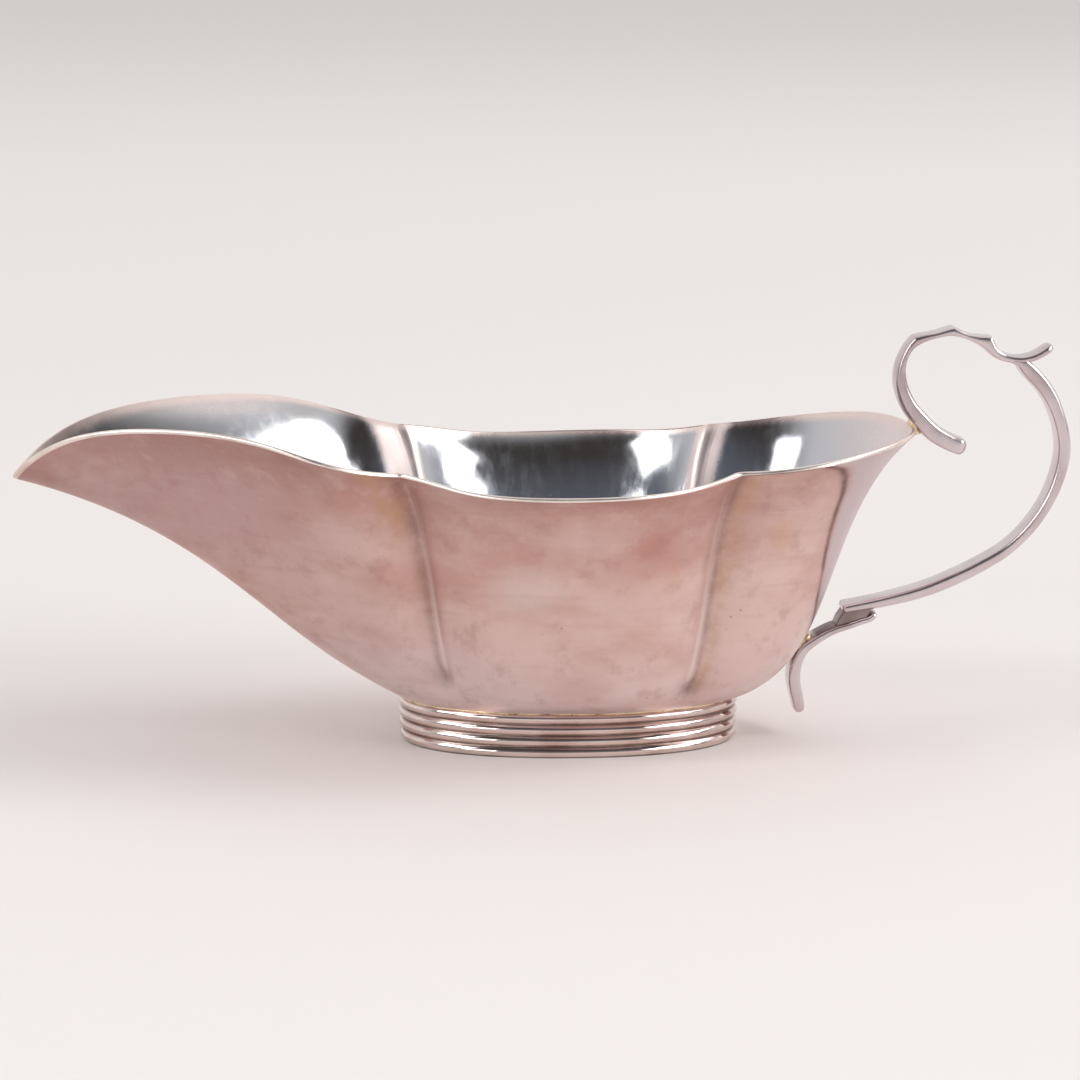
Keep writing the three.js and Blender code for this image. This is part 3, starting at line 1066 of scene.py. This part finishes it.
    def bottom(self, share: float, lift: float, flat_from: float) -> Row:
        """A ring of the bottom.

        Args:
            share: How far out it lies, 0 in the middle and 1 at the wall.
            lift: How high it lies above the outside.
            flat_from: The share from which the bottom lies flat.

        Returns:
            The ring and its climb.
        """
        edge = self.wall(self.turns, np.zeros_like(self.turns))
        sunk = max(self.bottom_sag * (1 - (share / flat_from) ** 2), 0.0)
        return np.column_stack([edge[:, :2] * share, np.full(len(edge), lift - sunk)]), 0.0

    def outside(self) -> list[Row]:
        """The rings of the outside, from the bottom's middle to the rim.

        Returns:
            Each ring with its climb.
        """
        seat = 1 - self.seat_width / self.foot.half_width
        rows = [self.bottom(share, 0.0, seat)
                for share in (0.02, 0.12, 0.25, 0.4, 0.55, 0.7, 0.8, seat, 0.96)]
        for climb in self.climbs(self.rows_outside):
            rows.append((self.wall(self.turns, np.full_like(self.turns, climb)), climb))
        return rows

    def edge(self) -> list[Row]:
        """The rings of the rim's round edge.

        Returns:
            Each ring with its climb.
        """
        full = np.ones_like(self.turns)
        out, up = self.facing(self.turns, full)
        radius = self.sheet / 2
        middle = self.wall(self.turns, full) - (out + up) * radius
        return [(middle + radius * (out * math.cos(lean) + up * math.sin(lean)), 1.0)
                for lean in np.linspace(0, math.pi, 9)]

    def inside(self) -> list[Row]:
        """The rings of the inside, from the rim to the bottom's middle.

        Returns:
            Each ring with its climb.
        """
        rows = []
        for climb in self.climbs(self.rows_inside)[::-1]:
            height = np.full_like(self.turns, climb)
            out, _ = self.facing(self.turns, height)
            ring = self.wall(self.turns, height) - out * self.sheet
            ring[:, 2] = np.maximum(ring[:, 2], self.sheet * 0.98)
            rows.append((ring, climb))
        return rows + [self.bottom(share, self.sheet, 1.0)
                       for share in (0.94, 0.86, 0.76, 0.65, 0.5, 0.35, 0.2, 0.1, 0.02)]

    def build(self, finishes: list[bpy.types.Material]) -> bpy.types.Object:
        """Makes the bowl, which stands for its solid.

        Args:
            finishes: The outside's, the inside's and the rim's material.

        Returns:
            The bowl.
        """
        outside, edge, inside = self.outside(), self.edge(), self.inside()
        rings, climbs = zip(*outside, *edge, *inside)
        bands = ([Face.OUTSIDE] * (len(outside) - 1) + [Face.RIM] * len(edge)
                 + [Face.INSIDE] * len(inside))
        count = len(self.turns)
        indices = np.repeat(bands, count).tolist() + [Face.OUTSIDE, Face.INSIDE] * count
        climb = np.concatenate([np.repeat(climbs, count), [0, 0]])
        turn = np.concatenate([np.tile(self.turns, len(rings)), [0.5, 0.5]])
        values = {"climb": climb, "sunk": np.zeros_like(climb), **self.wear_and_painted_light(turn, climb)}
        skin = RingMesh(list(rings), self.foot.top)
        bowl = add_piece("lobed_bowl", skin, finishes, values, indices)
        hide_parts("bowl")
        return bowl

    def wear_and_painted_light(self, turn: np.ndarray, climb: np.ndarray) -> dict[str, np.ndarray]:
        """What use and cleaning did to the finish at each point, with the painted highlight and reflections
        that lie on it.

        Args:
            turn: Where round the bowl each point lies, 0 to 4.
            climb: How high it lies, 0 to 1.

        Returns:
            The brown lines of the flutes, joined with a painted dark reflection line on the back, the rubbed
            edge and the halo beside each flute, the painted highlight on each flute's crest inside, and the
            painted pale reflection at the back's end.
        """
        nearest = np.round(turn)
        to_side = (turn - nearest) * np.where(nearest % 2 == 1, 1, -1)
        away = np.abs(to_side)
        lasts = smooth_step(climb, *self.worn_from)
        tall = np.clip(np.sin(math.pi * climb), 0, 1) * lasts
        at_lip = np.where((nearest == 2) | (nearest == 3), smooth_step(climb, *self.halo_at_lip_from), 1.0)
        # Painted highlight along the crest of each flute inside.
        ridge_highlight = self.ridge_strength * (1 - smooth_step(away, *self.ridge_sides))
        in_back_lobe = np.where(turn < 1, 0.5 - np.abs(turn - 0.5), -1.0)
        past = in_back_lobe - np.interp(climb, *zip(*self.back_reflection_edge))
        line = self.brown_line.at(away) * lasts + self.brown_dimple.at(away) * self.brown_dimple_up.at(climb)
        # The line also takes a painted dark reflection along the edge of the back's pale end.
        line = line + self.dark_reflection_line.at(past) * smooth_step(climb, *self.dark_reflection_line_from)
        return {
            "line": np.clip(line, 0, 1),
            "rub": self.rubbed_edge.at(to_side) * tall,
            "halo": self.ochre_halo.at(to_side) * lasts * at_lip,
            "ridge_highlight": ridge_highlight * smooth_step(climb, *self.ridge_from),
            # Painted reflection: the back's pale end.
            "clean": smooth_step(past, 0.0, self.back_reflection_fade),
        }

    def back_wall_at(self, height: float) -> np.ndarray:
        """The point of the back wall's middle line at a height.

        Args:
            height: The height above the foot.

        Returns:
            The point.
        """
        climb = np.linspace(0, 1, 2001)
        line = self.bare_wall(np.full_like(climb, 0.5), climb)
        return np.array([np.interp(height, line[:, 2], line[:, k]) for k in range(3)])


@dataclass
class BackLine:
    """The line that the handle is measured from: bracket's seat on the wall to the rim's end."""

    bowl: Bowl
    seat_height: float = 7.5

    def __post_init__(self) -> None:
        """Finds the line's two ends on the bowl."""
        self.seat = self.bowl.back_wall_at(self.seat_height)
        self.end = self.bowl.rim(np.array([0.5]))[0]

    def behind(self, distance: float, height: float) -> np.ndarray:
        """A place as x and z, by its distance behind the line and its height above the foot."""
        share = (height - self.seat[2]) / (self.end[2] - self.seat[2])
        return np.array([self.seat[0] + (self.end[0] - self.seat[0]) * share + distance, height])


@dataclass
class Strap:
    """A strap of rounded section, bent along its stations, with cusps on its outer side.

    A station is a distance behind the back line, a height and half the strap's thickness there.
    """

    name: str
    node: str
    stations: tuple[Triple, ...]
    width: float = 5.6
    corner: float = 0.6
    crown: float = 0.12
    thinnest: float = 0.06
    end_round: float = 0.75
    cusps: tuple[Pair, ...] = ()
    cusp_reach: float = 3.4
    start: End = End.ROUND
    spread_end: float = 0.0
    spread_reach: float = 1.8
    shaded_span: Pair | None = None
    shade_strength: float = 0.9
    shade_fade: float = 0.6
    spacing: float = 0.22

    def run(self, line: BackLine) -> np.ndarray:
        """The strap's middle line at even steps, which are finer at its two ends.

        Args:
            line: The line that the stations are measured from.

        Returns:
            Rows of x, z, half the thickness and the length so far.
        """
        points = np.array([[*line.behind(distance, height), half]
                           for distance, height, half in self.stations])
        curve = curve_through(np.vstack([2 * points[0] - points[1], points, 2 * points[-1] - points[-2]]))
        length = np.concatenate([[0], np.cumsum(np.linalg.norm(np.diff(curve[:, :2], axis=0), axis=1))])
        ends = self.end_round * (1 - np.cos(np.linspace(0, math.pi / 2, 7)[:-1])) + 0.004
        even = np.arange(self.end_round, length[-1] - self.end_round, self.spacing)
        wanted = np.concatenate([ends, even, (length[-1] - ends)[::-1]])
        return np.column_stack([np.interp(wanted, length, curve[:, k]) for k in range(3)] + [wanted])

    def lifts(self, run: np.ndarray, line: BackLine) -> np.ndarray:
        """How far the outer side rises at each step, up to a point at each cusp.

        Args:
            run: The middle line.
            line: The line that the cusps are measured from.

        Returns:
            The rise at each step.
        """
        total = np.zeros(len(run))
        for distance, height in self.cusps:
            gap = np.linalg.norm(run[:, :2] - line.behind(distance, height), axis=1)
            best = int(gap.argmin())
            share = np.clip(1 - np.abs(run[:, 3] - run[best, 3]) / self.cusp_reach, 0, 1)
            total += (gap[best] - run[best, 2]) * share ** 2
        return total

    def taper(self, at: float, total: float, thick: float) -> Pair:
        """How the strap draws in towards a round end.

        Args:
            at: How far along the strap.
            total: The strap's length.
            thick: Half its thickness before it draws in.

        Returns:
            How far its sides draw in, and half the thickness that is left.
        """
        near = min(at if self.start is End.ROUND else total, total - at)
        within = max(0.0, 1 - near / self.end_round)
        inset = self.end_round * (1 - math.sqrt(1 - within ** 2))
        return inset, max(thick - inset * min(1.0, thick / self.end_round), self.thinnest)

    def section(self, half_width: float, half: float) -> np.ndarray:
        """The strap's section: a bar with round edges and a slightly crowned face.

        Args:
            half_width: Half its width.
            half: Half its thickness.

        Returns:
            Rows of place across and place through the strap.
        """
        corner = min(self.corner, half * 0.8)
        reach = half_width - corner
        found = []
        for side, face, start in ((1, -1, -90), (1, 1, 0), (-1, 1, 90), (-1, -1, 180)):
            for turn in np.linspace(0, 90, 7):
                angle = math.radians(start + turn)
                found.append((side * reach + corner * math.cos(angle),
                              face * (half - corner) + corner * math.sin(angle)))
            if side == face:
                for share in (0.9, 0.5, 0, -0.5, -0.9):
                    found.append((share * side * reach, face * (half + self.crown * (1 - share * share))))
        return np.array(found)

    def shade_at(self, at: float, total: float) -> float:
        """How much painted shade the outer face carries.

        Args:
            at: How far along the strap.
            total: The strap's length.

        Returns:
            The painted shade's strength.
        """
        if self.shaded_span is None:
            return 0.0
        first, last = (share * total for share in self.shaded_span)
        begun = smooth_step(at, first - self.shade_fade, first + self.shade_fade)
        ended = smooth_step(at, last - self.shade_fade, last + self.shade_fade)
        return self.shade_strength * begun * (1 - ended)

    def build(self, line: BackLine, finish: bpy.types.Material) -> bpy.types.Object:
        """Makes the strap, which stands for its solid.

        Args:
            line: The line that the stations are measured from.
            finish: What it wears.

        Returns:
            The strap.
        """
        run = self.run(line)
        total = run[-1, 3]
        heading = np.gradient(run[:, :2], run[:, 3], axis=0)
        heading /= np.linalg.norm(heading, axis=1, keepdims=True)
        rings = []
        sunk = []
        for (x, z, half, at), (along, up), lift in zip(run, heading, self.lifts(run, line)):
            inset, half_through = self.taper(at, total, half + lift / 2)
            spread = self.spread_end * bell(total - at, 0.0, self.spread_reach)
            shape = self.section(self.width / 2 + spread - inset, half_through)
            through = shape[:, 1] + lift / 2
            rings.append(np.column_stack([x - up * through, shape[:, 0], z + along * through]))
            # Painted shade on the outer face over the shaded span.
            on_top = smooth_step(shape[:, 1], half_through * 0.4, half_through)
            sunk.append(self.shade_at(at, total) * on_top)
        skin = RingMesh(rings, line.bowl.foot.top)
        values = {"sunk": np.concatenate([*sunk, [0, 0]])}
        piece = add_piece(self.name, skin, [finish], values)
        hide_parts(self.node)
        return piece


SCROLL = Strap(
    name="thumb_scroll_strap",
    node="thumb_scroll",
    stations=(
        (10.5, 41.4, 1.38),
        (7.3, 42.4, 1.35),
        (3.7, 44, 1.38),
        (0.6, 46, 1.32),
        (-3.1, 48.8, 1.2),
        (-6.4, 52.4, 0.98),
        (-8.1, 55.8, 0.64),
        (-8.2, 58.4, 0.48),
        (-6.8, 59.9, 0.45),
        (-4.9, 60.6, 0.42),
        (-2.4, 60.9, 0.4),
        (0.9, 60.2, 0.43),
        (3.9, 59.1, 0.6),
        (7, 57.4, 0.68),
        (9.4, 56.6, 0.58),
        (11.7, 56.4, 0.5),
        (13.7, 56.9, 0.5),
        (15.1, 58, 0.55),
        (15.6, 58.8, 0.55),
    ),
    end_round=1.3,
    cusps=((-8.4, 60.4), (-2.7, 61.9), (4.5, 60.3)),
)

LOOP = Strap(
    name="long_loop_strap",
    node="handle_loop",
    stations=(
        (10.3, 56.2, 0.3),
        (12.1, 55.8, 0.95),
        (13.5, 54.9, 1.15),
        (15.3, 53.7, 1.22),
        (17.2, 52.4, 1.2),
        (20.1, 50, 1.15),
        (22.9, 47.1, 1.05),
        (25.4, 44, 1.05),
        (27.3, 40.9, 1.05),
        (28.6, 37.4, 1),
        (29.3, 32.8, 0.92),
        (28.8, 28.2, 0.88),
        (26.9, 24.2, 0.88),
        (23.6, 21.2, 0.95),
        (19.9, 18.8, 1),
        (16.1, 17, 0.95),
        (10.2, 15.3, 0.85),
        (4.2, 14.15, 0.65),
    ),
    start=End.HIDDEN,
    spread_end=0.3,
)

BRACKET = Strap(
    name="lower_bracket_strap",
    node="lower_bracket",
    stations=(
        (6.5, -3.6, 0.8),
        (4.9, -1.3, 0.97),
        (3.6, 0.4, 1),
        (2.5, 2.1, 1),
        (1.7, 3.9, 0.94),
        (1.3, 5.6, 0.88),
        (1.4, 7.3, 0.82),
        (2.5, 8.8, 0.74),
        (4.2, 10.2, 0.62),
        (5.6, 10.9, 0.56),
        (7, 11.4, 0.52),
        (8.4, 12, 0.5),
        (9.7, 12.5, 0.48),
        (10.4, 13.4, 0.45),
    ),
    width=6.2,
    # Painted shade on its outer face where its upper end runs under the pad.
    shaded_span=(0.56, 0.8),
)


@dataclass
class Block:
    """A small filled shape: an outline in side view, given a width and softened sides."""

    name: str
    outline: tuple[Pair, ...]
    half_width: float
    softness: float = 0.35
    flat_rings: Pair = (0.5, 0.93)
    # How much painted shade the shape carries, 0 to 1.
    sunk: float = 0.0

    def build(self, line: BackLine, finish: bpy.types.Material) -> bpy.types.Object:
        """Makes the shape.

        Args:
            line: The line that the outline is measured from.
            finish: What it wears.

        Returns:
            The shape.
        """
        flat = np.array([line.behind(distance, height) for distance, height in self.outline])
        middle = flat.mean(axis=0)
        face = 1 - self.softness
        sides = [(face + self.softness * math.cos(lean), -math.sin(lean))
                 for lean in np.linspace(-math.pi / 2, math.pi / 2, 9)]
        flats = [(face * share, 1.0) for share in self.flat_rings]
        rings = []
        for size, across in [*flats, *sides, *((size, -across) for size, across in reversed(flats))]:
            ring = middle + (flat - middle) * size
            side = np.full(len(flat), across * self.half_width)
            rings.append(np.column_stack([ring[:, 0], side, ring[:, 1]]))
        skin = RingMesh(rings, line.bowl.foot.top)
        values = {"sunk": np.full(len(skin.points()), self.sunk)}
        return add_piece(self.name, skin, [finish], values)


PAD = Block(
    name="bracket_pad",
    outline=((4.6, 10.4), (6.9, 11.4), (9.2, 12.3), (9.3, 13.7),
             (9.2, 15), (6.9, 14.6), (4.6, 14.1), (4.4, 12.4)),
    half_width=2.55,
    softness=0.06,
    # Painted shade: the pad is darkened as if it lay in shadow under the loop's end.
    sunk=0.7,
)
RIM_SOLDER = Block(
    name="rim_joint_solder",
    outline=((-0.6, 43.9), (0.5, 43.5), (1.6, 43.9), (0.5, 45),
             (-0.7, 46.2), (-1.7, 46.9), (-1.2, 45.4), (-0.5, 44.6)),
    half_width=2.3,
)
WALL_SOLDER = Block(
    name="wall_joint_solder",
    outline=((-0.4, 7.2), (0.4, 6.9), (0.6, 7.8), (1.1, 8.8),
             (1.7, 9.6), (1, 9.9), (0.4, 9.6), (-0.1, 8.6)),
    half_width=2.6,
)


@dataclass(frozen=True)
class Lamp:
    """A soft lamp that faces the object: degrees to the right and above, and sizes in metres."""

    name: str
    azimuth: float
    rise: float
    width: float
    height: float

    def build(self, glow: float, distance: float, aim: float = 0.03) -> None:
        """Hangs the lamp.

        Args:
            glow: How bright its face is, whatever its size.
            distance: How far away it hangs, in metres.
            aim: The height that it faces, in metres.
        """
        light = bpy.data.lights.new(self.name, "AREA")
        light.shape = "RECTANGLE"
        light.size = self.width
        light.size_y = self.height
        light.energy = glow * math.pi * self.width * self.height
        lamp = add_object(self.name, light)
        side = math.radians(self.azimuth)
        lift = math.radians(self.rise)
        toward = Vector((math.sin(side) * math.cos(lift), -math.cos(side) * math.cos(lift), math.sin(lift)))
        lamp.location = toward * distance + Vector((0, 0, aim))
        lamp.rotation_euler = toward.to_track_quat("Z", "Y").to_euler()
        lamp.visible_camera = False


@dataclass(frozen=True)
class Studio:
    """A pale floor, a room that is pale behind and dark in front, and soft lamps at both sides."""

    floor: Tone = (236, 231, 228)
    far_floor: Tone = (196, 192, 190)
    floor_radius: float = 12.0
    far_glow: float = 0.36
    pale_room: tuple[float, ...] = (0.84, 0.82, 0.82, 1.0)
    dark_room: tuple[float, ...] = (0.16, 0.17, 0.2, 1.0)
    dark_ceiling: tuple[float, ...] = (0.07, 0.06, 0.056, 1.0)
    lamp_glow: float = 4.7
    lamp_distance: float = 4.0
    lamps: tuple[Lamp, ...] = (
        Lamp("low_left_lamp", -39, 13, 1.52, 1.1),
        Lamp("low_right_lamp", 48, 18, 2.02, 1.52),
        Lamp("high_left_lamp", -64, 36, 1.68, 1.52),
        Lamp("high_right_lamp", 62, 32, 2.1, 1.35),
        Lamp("side_right_lamp", 92, 43, 1.85, 1.43),
    )

    def build(self) -> None:
        """Makes the floor, the room's light and the lamps."""
        self.make_floor()
        self.make_room()
        for lamp in self.lamps:
            lamp.build(self.lamp_glow, self.lamp_distance)
        log.info("studio: floor, room and %d lamps", len(self.lamps))

    def make_floor(self) -> None:
        """Lays a wide floor; far behind the object it also shows pale to camera and metal."""
        angle = np.linspace(0, 2 * math.pi, 48, endpoint=False)
        edge = np.column_stack([np.cos(angle), np.sin(angle), np.zeros_like(angle)]) * self.floor_radius
        mesh = bpy.data.meshes.new("studio_floor")
        mesh.from_pydata(edge.tolist(), [], [tuple(range(len(angle)))])
        sheet = Sheet("pale_floor", self.floor)
        rays = sheet.node("LightPath").outputs
        mirrored = sheet.plus(rays["Is Glossy Ray"], rays["Is Transmission Ray"])
        seen = sheet.plus(rays["Is Camera Ray"], mirrored)
        far = sheet.ramp(sheet.length(sheet.place), 0.3, 1.6)
        behind = sheet.ramp(sheet.node("SeparateXYZ", {"Vector": sheet.place}).outputs["Y"], -0.2, 0.4)
        sheet.coat(far, self.far_floor)
        sheet.fill(sheet.shader, {
            "Base Color": sheet.colour,
            "Roughness": 0.85,
            "Specular IOR Level": 0.2,
            "Emission Color": paint(self.floor),
            "Emission Strength": sheet.times(sheet.times(seen, sheet.times(far, behind)), self.far_glow),
        })
        mesh.materials.append(sheet.material)
        add_object("studio_floor", mesh)

    def make_room(self) -> None:
        """Makes the room's light: pale behind the object, dark in front of it."""
        world = bpy.data.worlds.new("plain_room")
        bpy.context.scene.world = world
        world.use_nodes = True
        nodes = Nodes(world.node_tree)
        place = nodes.node("TexCoord").outputs["Generated"]
        toward = nodes.node("SeparateXYZ", {"Vector": place}).outputs
        front = nodes.mix(nodes.ramp(toward["Z"], 0.3, 0.75), self.dark_room, self.dark_ceiling)
        everywhere = nodes.mix(nodes.ramp(toward["Y"], -0.5, 0.2), front, self.pale_room)
        nodes.fill(nodes.tree.nodes["Background"], {"Color": everywhere})


@dataclass(frozen=True)
class PictureCamera:
    """The camera at the photograph's viewing angle."""

    target: Triple = (-0.51, 0.0, 33.57)
    distance: float = 560.0
    azimuth: float = -2.1
    elevation: float = 10.0
    scale_at_target: float = 0.1687
    frame_pixels: int = 1080

    def build(self) -> None:
        """Makes the camera and gives it to the scene."""
        turn = math.radians(self.azimuth)
        rise = math.radians(self.elevation)
        back = Vector((math.sin(turn) * math.cos(rise), -math.cos(turn) * math.cos(rise), math.sin(rise)))
        right = Vector((math.cos(turn), math.sin(turn), 0.0))
        data = bpy.data.cameras.new("picture_camera")
        data.sensor_fit = "HORIZONTAL"
        data.sensor_width = 36.0
        data.lens = self.distance / self.scale_at_target * data.sensor_width / self.frame_pixels
        data.clip_start = 0.01
        data.clip_end = 20.0
        camera = add_object("picture_camera", data)
        axes = Matrix((right, back.cross(right), back)).transposed().to_4x4()
        place = (Vector(self.target) + back * self.distance) * MILLIMETRE
        camera.matrix_world = Matrix.Translation(place) @ axes
        bpy.context.scene.camera = camera
        log.info("camera: %.0f mm lens at %s", data.lens, tuple(round(value, 4) for value in place))


def main() -> None:
    """Builds the studio, the camera and every piece of the sauce boat."""
    logging.basicConfig(level=logging.INFO, format="%(name)s: %(message)s")
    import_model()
    bpy.context.scene.view_settings.view_transform = "Standard"
    PictureCamera().build()
    Studio().build()

    low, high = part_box("foot_collar")
    foot = FootCollar(middle=(low[0] + high[0]) / 2 / MILLIMETRE)
    bowl = Bowl(foot)
    line = BackLine(bowl)
    solder = Solder().make()
    handle_silver = HANDLE_SILVER.make()
    bowl.build([TarnishedSatin().make(), PolishedInside().make(), RIM_SILVER.make()])
    foot.build(FOOT_SILVER.make())
    foot.build_seam(solder)
    for part in (SCROLL, LOOP, BRACKET, PAD):
        part.build(line, handle_silver)
    for joint in (RIM_SOLDER, WALL_SOLDER):
        joint.build(line, solder)


if __name__ == "__main__":
    main()
